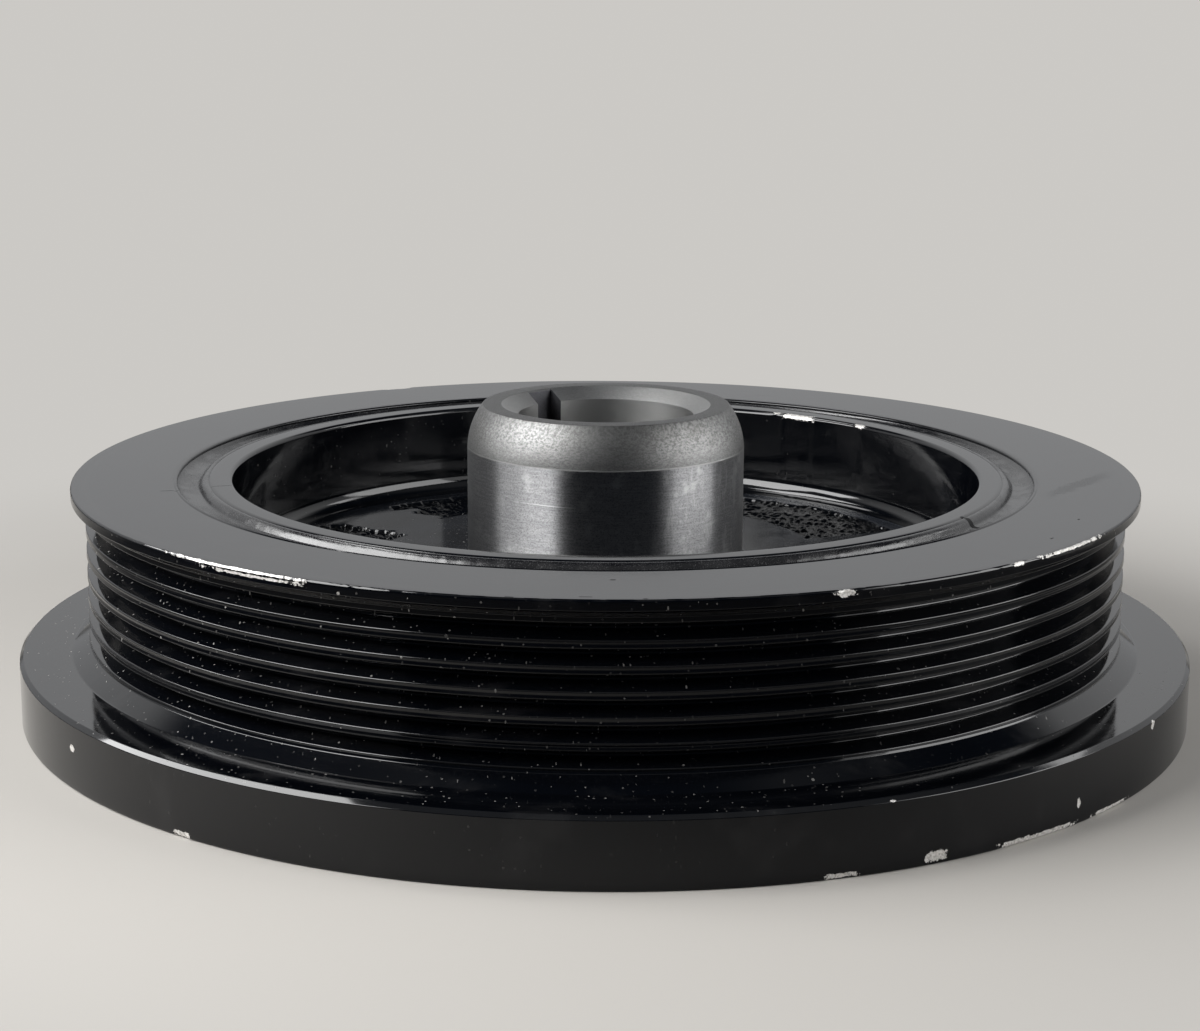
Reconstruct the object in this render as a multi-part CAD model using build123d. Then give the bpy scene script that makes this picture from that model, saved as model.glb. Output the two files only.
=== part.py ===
from build123d import *
from math import cos, radians, sin, tan
import os

# Harmonic balancer: an iron pulley ring bonded to a cast hub through a rubber ring.
# Millimetres.  The crankshaft axis is Z.  The origin is the centre of the pulley's front
# face, which the balancer rests on, and the hub's nose points up.

# ---- pulley ring: the inertia ring with the belt grooves -------------------------------
RING_BORE_R = 69.05        # bonded to the rubber
RING_TOP_Z = 37.2          # engine-side face
FLANGE_R = 94.6            # wide flange at the front face
FLANGE_T = 10.5
FLANGE_FOOT_R = 86.4       # where the slope from the last rib lands on the flange
LIP_R = 85.75              # narrow belt lip at the engine side
LIP_EDGE_Z = 35.6          # underside of the lip at its rim

# ---- poly-V grooves, PK section --------------------------------------------------------
GROOVE_COUNT = 6
GROOVE_PITCH = 3.56
GROOVE_ANGLE = 40.0
GROOVE_DEPTH = 2.75
CREST_R = 83.6             # over the crests of the ribs
CREST_WIDTH = 1.15
TOP_CREST_Z = 34.04        # middle of the crest under the lip

# ---- rubber ring -----------------------------------------------------------------------
RUBBER_TOP_Z = 35.8        # sunk a little below the metal on both sides
RUBBER_LOW_Z = 1.6

# ---- hub: rim and web ------------------------------------------------------------------
RIM_R = 64.5
RIM_MOUTH_R = 60.2         # inside of the rim on the engine side
RIM_LOW_Z = 1.2
FRONT_DISH_R = 59.0        # inside of the rim on the front side
WEB_TOP_Z = 22.0
WEB_LOW_Z = 12.0
DISH_CORNER = 2.4          # slope in the corner between web and rim

# ---- hub: nose -------------------------------------------------------------------------
NOSE_TOP_Z = 48.0
SEAL_R = 22.5              # ground journal for a 45 mm oil seal
SHOULDER_Z = 41.2          # top of the journal
SHOULDER_MID_R, SHOULDER_MID_Z = 21.85, 44.6
NOSE_FACE_R = 20.0
LEAD_IN_R = 17.0           # wide end of the lead-in cone
LEAD_IN_DEPTH = 1.8
BORE_R = 14.25

# ---- hub: front boss and bolt seat -----------------------------------------------------
BOSS_R = 28.0
BOSS_LOW_Z = 3.0
BOLT_SEAT_R = 21.0
BOLT_SEAT_Z = 8.0

# ---- keyway ----------------------------------------------------------------------------
KEY_WIDTH = 5.0
KEY_FLOOR_R = 16.6
KEY_AT = 132.0             # degrees from +X

# ---- puller holes ----------------------------------------------------------------------
PULLER_COUNT = 3
PULLER_CIRCLE_R = 35.0
PULLER_HOLE_R = 4.25       # tapping size for M10
PULLER_AT = 90.0

# ---- cast skin left below the turned face of the web -----------------------------------
SKIN_INNER_R = 41.2
SKIN_OUTER_R = 55.3
SKIN_SPAN = 110.0
SKIN_DEPTH = 0.6
SKIN_CORNER = 2.0
SKIN_NEAR_R = 37.5         # where each patch's straight inner edge begins
SKIN_FLAT_SPAN = 30.0      # degrees that the straight edge takes
SKIN_STARTS = (24.0, 152.0)


def turned(profile):
    """Revolve a closed (radius, height) profile about Z."""
    with BuildPart() as solid:
        with BuildSketch(Plane.XZ):
            with BuildLine():
                Polyline(*profile, close=True)
            make_face()
        revolve(axis=Axis.Z)
    return solid.part


def polar(radius, angle):
    return radius * cos(radians(angle)), radius * sin(radians(angle))


def rib_profile():
    """The ribs between the lip and the flange, from the top down."""
    half_mouth = (GROOVE_PITCH - CREST_WIDTH) / 2
    half_floor = half_mouth - GROOVE_DEPTH * tan(radians(GROOVE_ANGLE / 2))
    root_r = CREST_R - GROOVE_DEPTH
    points = []
    for i in range(GROOVE_COUNT):
        middle = TOP_CREST_Z - GROOVE_PITCH * (i + 0.5)
        points += [(CREST_R, middle + half_mouth), (root_r, middle + half_floor),
                   (root_r, middle - half_floor), (CREST_R, middle - half_mouth)]
    return points


def pulley_ring():
    last_crest_z = TOP_CREST_Z - GROOVE_PITCH * GROOVE_COUNT
    return turned([
        (RING_BORE_R, 0), (RING_BORE_R, RING_TOP_Z), (LIP_R, RING_TOP_Z), (LIP_R, LIP_EDGE_Z),
        (CREST_R, TOP_CREST_Z + CREST_WIDTH / 4),
        *rib_profile(),
        (CREST_R, last_crest_z - CREST_WIDTH / 8), (FLANGE_FOOT_R, FLANGE_T),
        (FLANGE_R, FLANGE_T), (FLANGE_R, 0),
    ])


def rubber_ring():
    return turned([(RIM_R, RUBBER_LOW_Z), (RING_BORE_R, RUBBER_LOW_Z),
                   (RING_BORE_R, RUBBER_TOP_Z), (RIM_R, RUBBER_TOP_Z)])


def hub_blank():
    """Rim, web, boss and nose, turned as one casting, up to the foot of the shoulder."""
    return turned([
        (BORE_R, BOLT_SEAT_Z), (BOLT_SEAT_R, BOLT_SEAT_Z), (BOLT_SEAT_R, BOSS_LOW_Z),
        (BOSS_R, BOSS_LOW_Z), (BOSS_R, WEB_LOW_Z), (FRONT_DISH_R, WEB_LOW_Z),
        (FRONT_DISH_R, RIM_LOW_Z), (RIM_R, RIM_LOW_Z), (RIM_R, RING_TOP_Z),
        (RIM_MOUTH_R, RING_TOP_Z), (RIM_MOUTH_R, WEB_TOP_Z + DISH_CORNER),
        (RIM_MOUTH_R - DISH_CORNER, WEB_TOP_Z), (SEAL_R, WEB_TOP_Z), (SEAL_R, SHOULDER_Z),
        (BORE_R, SHOULDER_Z),
    ])


def nose_end():
    """The rounded shoulder, end face and lead-in cone above the ground journal."""
    with BuildPart() as solid:
        with BuildSketch(Plane.XZ):
            with BuildLine():
                ThreePointArc((SEAL_R, SHOULDER_Z), (SHOULDER_MID_R, SHOULDER_MID_Z),
                              (NOSE_FACE_R, NOSE_TOP_Z))
                Polyline((NOSE_FACE_R, NOSE_TOP_Z), (LEAD_IN_R, NOSE_TOP_Z),
                         (BORE_R, NOSE_TOP_Z - LEAD_IN_DEPTH), (BORE_R, SHOULDER_Z),
                         (SEAL_R, SHOULDER_Z))
            make_face()
        revolve(axis=Axis.Z)
    return solid.part


def keyway():
    slot = Box(KEY_FLOOR_R, KEY_WIDTH, NOSE_TOP_Z - BOSS_LOW_Z,
               align=(Align.MIN, Align.CENTER, Align.MIN))
    return Rot(0, 0, KEY_AT) * Pos(0, 0, BOSS_LOW_Z) * slot


def puller_holes():
    drill = Cylinder(PULLER_HOLE_R, WEB_TOP_Z - WEB_LOW_Z)
    middle_z = (WEB_TOP_Z + WEB_LOW_Z) / 2
    step = 360 / PULLER_COUNT
    return [Pos(*polar(PULLER_CIRCLE_R, PULLER_AT + i * step), middle_z) * drill
            for i in range(PULLER_COUNT)]


def cast_skin(start):
    """A shallow sector of the web that the facing cut didn't reach."""
    end = start + SKIN_SPAN
    middle = (start + end) / 2
    flat_end = start + SKIN_FLAT_SPAN      # the straight inner edge runs to the inner arc
    with BuildPart() as patch:
        with BuildSketch(Plane.XY.offset(WEB_TOP_Z)) as outline:
            with BuildLine():
                ThreePointArc(polar(SKIN_OUTER_R, start), polar(SKIN_OUTER_R, middle),
                              polar(SKIN_OUTER_R, end))
                Line(polar(SKIN_OUTER_R, end), polar(SKIN_INNER_R, end))
                ThreePointArc(polar(SKIN_INNER_R, end),
                              polar(SKIN_INNER_R, (end + flat_end) / 2),
                              polar(SKIN_INNER_R, flat_end))
                Polyline(polar(SKIN_INNER_R, flat_end), polar(SKIN_NEAR_R, start),
                         polar(SKIN_OUTER_R, start))
            make_face()
            fillet(outline.vertices(), SKIN_CORNER)
        extrude(amount=-SKIN_DEPTH)
    return patch.part


def hub():
    body = hub_blank() + nose_end()
    body -= keyway()
    for hole in puller_holes():
        body -= hole
    for start in SKIN_STARTS:
        body -= cast_skin(start)
    return body


NODES = {"hub": hub, "rubber_ring": rubber_ring, "pulley_ring": pulley_ring}

os.makedirs("parts", exist_ok=True)
for name, make in NODES.items():
    export_step(make(), f"parts/{name}.step")
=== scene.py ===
import math

import bmesh
import bpy
import numpy as np
from mathutils import Matrix, Vector


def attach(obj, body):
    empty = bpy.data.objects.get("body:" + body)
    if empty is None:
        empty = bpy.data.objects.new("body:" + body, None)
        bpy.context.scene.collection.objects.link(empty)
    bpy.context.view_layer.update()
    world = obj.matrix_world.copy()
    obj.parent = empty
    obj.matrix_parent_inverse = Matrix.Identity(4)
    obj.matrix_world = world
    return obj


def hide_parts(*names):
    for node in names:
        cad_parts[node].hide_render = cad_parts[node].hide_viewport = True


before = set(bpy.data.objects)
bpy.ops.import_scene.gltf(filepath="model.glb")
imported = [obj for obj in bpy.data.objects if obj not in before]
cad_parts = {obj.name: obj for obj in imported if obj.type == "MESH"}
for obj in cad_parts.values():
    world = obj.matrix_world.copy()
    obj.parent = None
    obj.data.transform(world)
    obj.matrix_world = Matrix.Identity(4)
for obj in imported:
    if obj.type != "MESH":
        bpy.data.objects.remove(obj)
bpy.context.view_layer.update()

MM = 0.001

# ---- the part's own dimensions, mm, as in the source -----------------------------------
RING_BORE_R = 69.05
RING_TOP_Z = 37.2
FLANGE_R = 94.6
FLANGE_T = 10.5
FLANGE_FOOT_R = 86.4
LIP_R = 85.75
LIP_EDGE_Z = 35.6
GROOVE_COUNT = 6
GROOVE_PITCH = 3.56
GROOVE_DEPTH = 2.75
GROOVE_HALF_ANGLE = math.radians(20)
CREST_R = 83.6
CREST_WIDTH = 1.15
TOP_CREST_Z = 34.04
# the rubber's bare face, from the ring to the rim: low, then steep, then proud beside the rim
RUBBER_FACE = [(69.05, 36.6), (68.7, 36.2), (68.1, 35.95), (67.3, 35.85), (66.4, 35.8),
               (65.85, 35.82), (65.62, 35.9), (65.5, 36.05), (65.38, 36.28), (65.24, 36.5),
               (65.08, 36.7), (64.9, 36.87), (64.7, 37.0), (64.48, 37.07), (64.2, 37.06),
               (63.95, 36.9), (63.95, 36.5), (64.5, 36.0)]
RUBBER_FACE_LOW_Z = 35.0           # the bare face lies above this
RUBBER_MID_R = 66.8
RUBBER_LOW_Z = 1.6
RIM_R = 64.5
RIM_MOUTH_R = 60.2
RIM_LOW_Z = 1.2
FRONT_DISH_R = 59.0
WEB_TOP_Z = 22.0
WEB_LOW_Z = 12.0
DISH_FILLET = 3.0
NOSE_TOP_Z = 48.0
SEAL_R = 22.5
SHOULDER_Z = 41.2
SHOULDER_MID = (21.85, 44.6)
NOSE_FACE_R = 20.0
LEAD_IN_R = 17.0
LEAD_IN_DEPTH = 1.8
BORE_R = 14.25
NOSE_FILLET = 1.5
BOSS_R = 28.0
BOSS_LOW_Z = 3.0
BOLT_SEAT_R = 21.0
BOLT_SEAT_Z = 8.0
KEY_WIDTH = 5.0
KEY_FLOOR_R = 16.6
KEY_AT = 132.0
PULLER_CIRCLE_R = 35.0
PULLER_HOLE_R = 4.25
PULLER_AT = (90.0, 210.0, 330.0)
SKIN_INNER_R = 41.2
SKIN_OUTER_R = 55.3
SKIN_SPAN = 110.0
SKIN_DEPTH = 0.6
SKIN_NEAR_R = 37.5                 # where each patch's straight inner edge begins
SKIN_FLAT_SPAN = 30.0              # degrees that the straight edge takes
SKIN_STARTS = (24.0, 152.0)

# ---- rounding and chamfers that the source leaves out ----------------------------------
BEAD_ROUND = 0.2                   # paint builds up in a bead along both edges of a crest
BEAD_HEIGHT = 0.13
ROOT_ROUND = 0.28
FLANGE_CHAMFER = 0.62
EDGE_BREAK = 0.4                   # on turned corners that nothing else rounds
RIM_ROUND = 1.1                    # the rim's outer corner, beside the rubber
LIP_ROUND = 0.45

HOLE_SIDES = 64
RING_TURNS, RUBBER_TURNS, HUB_TURNS = 600, 1200, 720       # points round each lathe piece


# ---- seeded noise on arrays ------------------------------------------------------------

def value_noise(u, v, seed):
    """Smooth noise in -1..1 at cell size 1."""
    table = np.random.default_rng(seed).uniform(-1, 1, (64, 64))
    iu, iv = np.floor(u).astype(int), np.floor(v).astype(int)
    fu, fv = u - iu, v - iv
    fu, fv = fu * fu * (3 - 2 * fu), fv * fv * (3 - 2 * fv)

    def at(a, b):
        return table[(a * 7 + b // 64 * 13) % 64, (b + a // 64 * 29) % 64]

    low = at(iu, iv) * (1 - fu) + at(iu + 1, iv) * fu
    high = at(iu, iv + 1) * (1 - fu) + at(iu + 1, iv + 1) * fu
    return low * (1 - fv) + high * fv


def grains(x, y, size, seed):
    """Distance to the nearest grain of a jittered grid, in cells, and that grain's tallness."""
    columns, rows = 97, 89
    table = np.random.default_rng(seed).uniform(0.1, 0.9, (columns, rows, 3))
    u, v = x / size, y / size
    iu, iv = np.floor(u).astype(int), np.floor(v).astype(int)
    best = np.full(u.shape, np.inf)
    tall = np.zeros(u.shape)
    for du in (-1, 0, 1):
        for dv in (-1, 0, 1):
            seeds = table[(iu + du) % columns, (iv + dv) % rows]
            d = np.hypot(iu + du + seeds[..., 0] - u, iv + dv + seeds[..., 1] - v)
            nearer = d < best
            best = np.where(nearer, d, best)
            tall = np.where(nearer, seeds[..., 2], tall)
    return best, tall


def step(low, high, value):
    """0 below low, 1 above high, smooth in between; low may be the larger."""
    t = np.clip((value - low) / (high - low), 0, 1)
    return t * t * (3 - 2 * t)


# ---- mesh helpers ----------------------------------------------------------------------

def rounded(corners, steps=4):
    """A closed profile of (r, z, round) corners, each turned into a short arc."""
    out = []
    n = len(corners)
    nearly_straight = math.radians(89)
    for i in range(n):
        r, z, rad = corners[i]
        turns = 2 if rad == ROOT_ROUND else steps       # the roots are deep and narrow
        if rad <= 0:
            out.append((r, z))
            continue
        here = np.array([r, z])
        a = np.array(corners[i - 1][:2]) - here
        b = np.array(corners[(i + 1) % n][:2]) - here
        la, lb = np.linalg.norm(a), np.linalg.norm(b)
        a, b = a / la, b / lb
        half = math.acos(max(-1.0, min(1.0, float(a @ b)))) / 2
        if half > nearly_straight:
            out.append((r, z))
            continue
        cut = min(rad / math.tan(half), 0.48 * la, 0.48 * lb)       # never past a side's middle
        rad = cut * math.tan(half)
        centre = here + (a + b) / np.linalg.norm(a + b) * rad / math.sin(half)
        p, q = here + a * cut - centre, here + b * cut - centre
        turn = math.atan2(p[0] * q[1] - p[1] * q[0], p @ q)
        for k in range(turns + 1):
            t = turn * k / turns
            c, s = math.cos(t), math.sin(t)
            out.append((centre[0] + c * p[0] - s * p[1], centre[1] + s * p[0] + c * p[1]))
    return out


def build(name, verts, faces):
    """A linked object with outward normals."""
    mesh = bpy.data.meshes.new(name)
    mesh.from_pydata(verts.tolist(), [], faces.tolist())
    mesh.update()
    bm = bmesh.new()
    bm.from_mesh(mesh)
    bmesh.ops.recalc_face_normals(bm, faces=bm.faces)
    bm.to_mesh(mesh)
    bm.free()
    obj = bpy.data.objects.new(name, mesh)
    bpy.context.scene.collection.objects.link(obj)
    return obj


def lathe(name, profile, segments, wear=None):
    """A closed solid of revolution; wear moves its points as wear(r, z, degrees)."""
    prof = np.array(profile)
    n, m = len(prof), segments
    angle = np.linspace(-math.pi, math.pi, m, endpoint=False)
    r = np.repeat(prof[:, 0][None, :], m, axis=0)
    z = np.repeat(prof[:, 1][None, :], m, axis=0)
    th = np.repeat(angle[:, None], n, axis=1)
    if wear is not None:
        dr, dz = wear(r, z, np.degrees(th))
        r, z = r + dr, z + dz
    verts = np.stack([r * np.cos(th), r * np.sin(th), z], axis=-1).reshape(-1, 3) * MM
    i, j = np.meshgrid(np.arange(m), np.arange(n), indexing="ij")
    i2, j2 = (i + 1) % m, (j + 1) % n
    faces = np.stack([i * n + j, i2 * n + j, i2 * n + j2, i * n + j2], axis=-1).reshape(-1, 4)
    return build(name, verts, faces)


def slab(name, x, y, top, low_z):
    """A closed slab over a grid of points, with a height for each."""
    m, n = x.shape
    upper = np.stack([x, y, top], axis=-1).reshape(-1, 3)
    lower = np.stack([x, y, np.full_like(top, low_z)], axis=-1).reshape(-1, 3)
    i, j = np.meshgrid(np.arange(m - 1), np.arange(n - 1), indexing="ij")
    a = (i * n + j).reshape(-1)
    skin = np.stack([a, a + n, a + n + 1, a + 1], axis=-1)
    edge = np.concatenate([np.arange(n), np.arange(2, m) * n - 1,
                           np.arange(m * n - 1, m * n - n - 1, -1), np.arange(m - 2, 0, -1) * n])
    nxt = np.roll(edge, -1)
    wall = np.stack([edge, edge + m * n, nxt + m * n, nxt], axis=-1)
    faces = np.concatenate([skin, skin[:, ::-1] + m * n, wall])
    return build(name, np.concatenate([upper, lower]) * MM, faces)


def cut(obj, cutters):
    """Subtract the cutters and keep the result as the object's own mesh."""
    for cutter in cutters:
        mod = obj.modifiers.new("cut", "BOOLEAN")
        mod.operation, mod.solver, mod.object = "DIFFERENCE", "EXACT", cutter
    keep_result(obj)
    for cutter in cutters:
        bpy.data.objects.remove(cutter, do_unlink=True)


def smooth(obj, degrees=30):
    """Smooth shading that keeps the flats flat right up to their rounded edges."""
    mesh = obj.data
    mesh.polygons.foreach_set("use_smooth", [True] * len(mesh.polygons))
    mesh.set_sharp_from_angle(angle=math.radians(degrees))
    mesh.update()
    mod = obj.modifiers.new("normals", "WEIGHTED_NORMAL")
    mod.mode, mod.keep_sharp = "FACE_AREA", True
    keep_result(obj)


def keep_result(obj):
    """Make what the modifiers give the object's own mesh."""
    deps = bpy.context.evaluated_depsgraph_get()
    result = bpy.data.meshes.new_from_object(obj.evaluated_get(deps))
    obj.modifiers.clear()
    obj.data = result


def prism(name, outline, low_z, high_z):
    """A straight prism over a counter-clockwise outline of (x, y)."""
    n = len(outline)
    pts = np.array([(x, y, low_z) for x, y in outline] + [(x, y, high_z) for x, y in outline])
    mesh = bpy.data.meshes.new(name)
    faces = [list(range(n))[::-1], list(range(n, 2 * n))]
    faces += [[i, (i + 1) % n, n + (i + 1) % n, n + i] for i in range(n)]
    mesh.from_pydata((pts * MM).tolist(), [], faces)
    mesh.update()
    obj = bpy.data.objects.new(name, mesh)
    bpy.context.scene.collection.objects.link(obj)
    return obj


def on_circle(radius, degrees):
    return radius * math.cos(math.radians(degrees)), radius * math.sin(math.radians(degrees))


def arc_mm(degrees, radius):
    """The length of an arc, mm."""
    return degrees * math.radians(1) * radius


def puller_hole(at, low_z):
    """A cutter for the puller hole at this azimuth."""
    cx, cy = on_circle(PULLER_CIRCLE_R, at)
    pts = [on_circle(PULLER_HOLE_R, k * 360 / HOLE_SIDES) for k in range(HOLE_SIDES)]
    return prism("hole", [(cx + x, cy + y) for x, y in pts], low_z, WEB_TOP_Z + 2)


# ---- damage: where the paint is knocked off --------------------------------------------
# each chip: azimuth of its middle in degrees; length along the edge, radius, height and half
# its width in mm

RING_CHIPS = [
    (-126.8, 21.5, LIP_R - 0.10, RING_TOP_Z - 0.14, 0.26),
    (-124.6, 14.5, LIP_R, RING_TOP_Z - 0.80, 0.22),
    (-38.4, 15.0, LIP_R - 0.12, RING_TOP_Z - 0.15, 0.30),
    (-47.7, 2.0, LIP_R - 0.08, RING_TOP_Z - 0.20, 0.40),
    (-68.0, 3.0, LIP_R, RING_TOP_Z - 0.50, 0.55),
    (-144.8, 1.6, FLANGE_R, 6.4, 0.55),
    (-128.0, 2.6, FLANGE_R, 0.5, 0.40),
    (-61.7, 3.6, FLANGE_R, 1.2, 0.75),
    (-70.5, 4.0, FLANGE_R, 0.5, 0.35),
    (-50.5, 13.0, FLANGE_R, 0.3, 0.50),
    (-40.0, 9.0, FLANGE_R, 0.3, 0.35),
    (-45.0, 0.8, FLANGE_R, 3.1, 0.75),
    (-31.6, 1.2, FLANGE_R, 9.4, 0.60),
    (-66.0, 1.2, FLANGE_R, 10.1, 0.22),
    (118.0, 5.0, LIP_R - 0.1, RING_TOP_Z - 0.2, 0.35),
    (70.0, 3.0, FLANGE_R, 0.6, 0.50),
    (162.0, 6.0, FLANGE_R, 0.4, 0.40),
]
RIM_CHIPS = [
    (54.5, 6.0, RIM_MOUTH_R + 0.3, RING_TOP_Z - 0.3, 0.60),
    (41.5, 2.2, RIM_MOUTH_R + 0.3, RING_TOP_Z - 0.3, 0.50),
    (58.8, 2.0, RIM_MOUTH_R + 0.5, RING_TOP_Z - 0.2, 0.35),
]
# nicks in the upper faces, dark and thin, are listed the same way
RING_NICKS = [
    (-89.5, 0.7, 68.6, RING_TOP_Z, 0.30),
    (-91.7, 1.7, 84.2, RING_TOP_Z, 0.16),
    (-86.4, 0.7, 85.2, RING_TOP_Z, 0.20),
    (-89.2, 0.9, 74.9, RING_TOP_Z, 0.28),
    (-98.5, 1.2, 85.3, RING_TOP_Z, 0.16),
    (-164.3, 0.28, 70.6, RING_TOP_Z, 1.70),
    (-37.0, 1.0, 81.0, RING_TOP_Z, 0.14),
    (-27.0, 0.8, 79.5, RING_TOP_Z, 0.20),
]
RUBBER_NICKS = [(-33.0, 1.3, 65.8, RING_TOP_Z - 0.6, 1.9)]
RIM_NICKS = [
    (-165.8, 0.26, 62.3, RING_TOP_Z, 1.90),
    (-33.0, 1.2, 64.6, RING_TOP_Z, 1.20),
]
CHIP_DEPTH = 0.13
SMALLEST_DENT = 2.0                    # shorter chips are only painted


def dents(chips, seed):
    """A wear function that sinks the surface under each chip, never below the front face."""
    def wear(r, z, degrees):
        sink = np.zeros_like(r)
        ragged = value_noise(degrees * 1.3, z * 0.9 + r * 0.4, seed)
        for az, length, r0, z0, half in chips:
            if length < SMALLEST_DENT:
                continue
            away = np.abs((degrees - az + 180) % 360 - 180)
            along = arc_mm(away, r0) / (length / 2)
            across = np.hypot(r - r0, z - z0) / (half * 1.3)
            sink = np.maximum(sink, step(1.1, 0.7, np.maximum(along, across) + 0.25 * ragged))
        wall = (np.abs(z - RING_TOP_Z) > 0.02) * 1.0
        high = z > FLANGE_T
        return -CHIP_DEPTH * sink * wall, -CHIP_DEPTH * sink * high * (1 - wall * 0.5)
    return wear


# ---- the pulley ring -------------------------------------------------------------------

def bore_bead():
    """A fine groove round the ring's bore leaves a bead along the rubber."""
    return [(RING_BORE_R, RING_TOP_Z - 0.15, 0.25), (RING_BORE_R + 0.42, RING_TOP_Z, 0.06),
            (RING_BORE_R + 0.60, RING_TOP_Z - 0.17, 0.06), (RING_BORE_R + 1.2, RING_TOP_Z, 0)]


def ribs():
    """The grooves from the top down, with a slight hollow between the beads of each crest."""
    half_mouth = (GROOVE_PITCH - CREST_WIDTH) / 2
    half_floor = half_mouth - GROOVE_DEPTH * math.tan(GROOVE_HALF_ANGLE)
    root_r = CREST_R - GROOVE_DEPTH
    pts = []
    for i in range(GROOVE_COUNT):
        mid = TOP_CREST_Z - GROOVE_PITCH * (i + 0.5)
        pts += [(CREST_R, mid + half_mouth, BEAD_ROUND), (root_r, mid + half_floor, ROOT_ROUND),
                (root_r, mid - half_floor, ROOT_ROUND), (CREST_R, mid - half_mouth, BEAD_ROUND)]
        if i < GROOVE_COUNT - 1:
            pts.append((CREST_R - BEAD_HEIGHT, mid - GROOVE_PITCH / 2, 0.5))
    return pts


def ring_profile():
    """Points with no rounding only split long sides, so that chips can dent them."""
    last = TOP_CREST_Z - GROOVE_PITCH * GROOVE_COUNT
    return rounded([
        (RING_BORE_R, 0.0, EDGE_BREAK), *bore_bead(), (LIP_R - 1.4, RING_TOP_Z, 0),
        (LIP_R, RING_TOP_Z, LIP_ROUND), (LIP_R, (RING_TOP_Z + LIP_EDGE_Z) / 2, 0),
        (LIP_R, LIP_EDGE_Z, 0.25), (CREST_R, TOP_CREST_Z + CREST_WIDTH / 4, 0.2), *ribs(),
        (CREST_R - BEAD_HEIGHT / 2, last + CREST_WIDTH * 0.2, 0.4),
        (CREST_R + 0.05, last - CREST_WIDTH / 8, 0.2), (FLANGE_FOOT_R, FLANGE_T, 0.5),
        (FLANGE_R - FLANGE_CHAMFER, FLANGE_T, 0.2), (FLANGE_R, FLANGE_T - FLANGE_CHAMFER, 0.2),
        (FLANGE_R, 6.4, 0), (FLANGE_R, 1.3, 0), (FLANGE_R, 0.0, EDGE_BREAK)], 3)


ring = lathe("ring_body", ring_profile(), RING_TURNS, dents(RING_CHIPS, 11))
smooth(ring)
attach(ring, "root")
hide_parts("pulley_ring")


# ---- the rubber ------------------------------------------------------------------------

def rubber_profile():
    return [(RIM_R, RUBBER_LOW_Z), (RING_BORE_R, RUBBER_LOW_Z), *RUBBER_FACE]


def rubber_wear(r, z, degrees):
    """Slow waves and a fine ripple in the bare face, both still where the ends meet."""
    arc = arc_mm(degrees, RUBBER_MID_R)
    share = step(0.0, 0.3, RING_BORE_R - r) * step(0.1, 0.6, r - RIM_R)
    share = (z > RUBBER_FACE_LOW_Z) * share * step(0.0, 8.0, 180 - np.abs(degrees))
    slow = value_noise(arc * 0.12, r * 0.2, 3)
    fine = value_noise(arc * 1.1, r * 0.8, 5)
    return share * (0.14 * slow + 0.02 * fine), share * (0.05 * slow + 0.012 * fine)


rubber = lathe("rubber_band", rubber_profile(), RUBBER_TURNS, rubber_wear)
smooth(rubber, 75)
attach(rubber, "root")
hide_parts("rubber_ring")


# ---- the hub ---------------------------------------------------------------------------

def arc3(a, b, c, n):
    """Points that cut the arc from a through b to c into n, ends left out."""
    (x1, y1), (x2, y2), (x3, y3) = a, b, c
    d = 2 * (x1 * (y2 - y3) + x2 * (y3 - y1) + x3 * (y1 - y2))
    s1, s2, s3 = x1 * x1 + y1 * y1, x2 * x2 + y2 * y2, x3 * x3 + y3 * y3
    cx = (s1 * (y2 - y3) + s2 * (y3 - y1) + s3 * (y1 - y2)) / d
    cy = (s1 * (x3 - x2) + s2 * (x1 - x3) + s3 * (x2 - x1)) / d
    t1, t3 = math.atan2(y1 - cy, x1 - cx), math.atan2(y3 - cy, x3 - cx)
    rad = math.hypot(x1 - cx, y1 - cy)
    turns = [t1 + (t3 - t1) * k / n for k in range(1, n)]
    return [(cx + rad * math.cos(t), cy + rad * math.sin(t)) for t in turns]


def hub_profile():
    shoulder = arc3((SEAL_R, SHOULDER_Z), SHOULDER_MID, (NOSE_FACE_R, NOSE_TOP_Z), 10)
    return rounded([
        (BORE_R, BOLT_SEAT_Z, EDGE_BREAK), (BOLT_SEAT_R, BOLT_SEAT_Z, EDGE_BREAK),
        (BOLT_SEAT_R, BOSS_LOW_Z, EDGE_BREAK), (BOSS_R, BOSS_LOW_Z, 0.5),
        (BOSS_R, WEB_LOW_Z, DISH_FILLET), (FRONT_DISH_R, WEB_LOW_Z, DISH_FILLET),
        (FRONT_DISH_R, RIM_LOW_Z, 0.5), (RIM_R, RIM_LOW_Z, EDGE_BREAK),
        (RIM_R, RING_TOP_Z, RIM_ROUND), (RIM_MOUTH_R + 1.6, RING_TOP_Z, 0),
        (RIM_MOUTH_R, RING_TOP_Z, 0.9), (RIM_MOUTH_R, WEB_TOP_Z, DISH_FILLET),
        (SEAL_R, WEB_TOP_Z, NOSE_FILLET), (SEAL_R, SHOULDER_Z, 0.1),
        *[(r, z, 0) for r, z in shoulder], (NOSE_FACE_R, NOSE_TOP_Z, 0.2),
        (LEAD_IN_R, NOSE_TOP_Z, 0.1), (BORE_R, NOSE_TOP_Z - LEAD_IN_DEPTH, 0.04)], 5)


def sector(start, end, inner, outer, n=64):
    """The outline of a piece of a flat ring, between two azimuths."""
    turns = [start + (end - start) * k / n for k in range(n + 1)]
    return [on_circle(outer, t) for t in turns] + [on_circle(inner, t) for t in turns[::-1]]


# the hub has a pocket for each cast skin, a little larger than the cast patch itself
POCKET_IN, POCKET_OUT, POCKET_MARGIN = 36.4, 56.8, 9.0      # mm, mm, degrees
POCKET_LOW_Z = WEB_TOP_Z - 1.6


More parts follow.
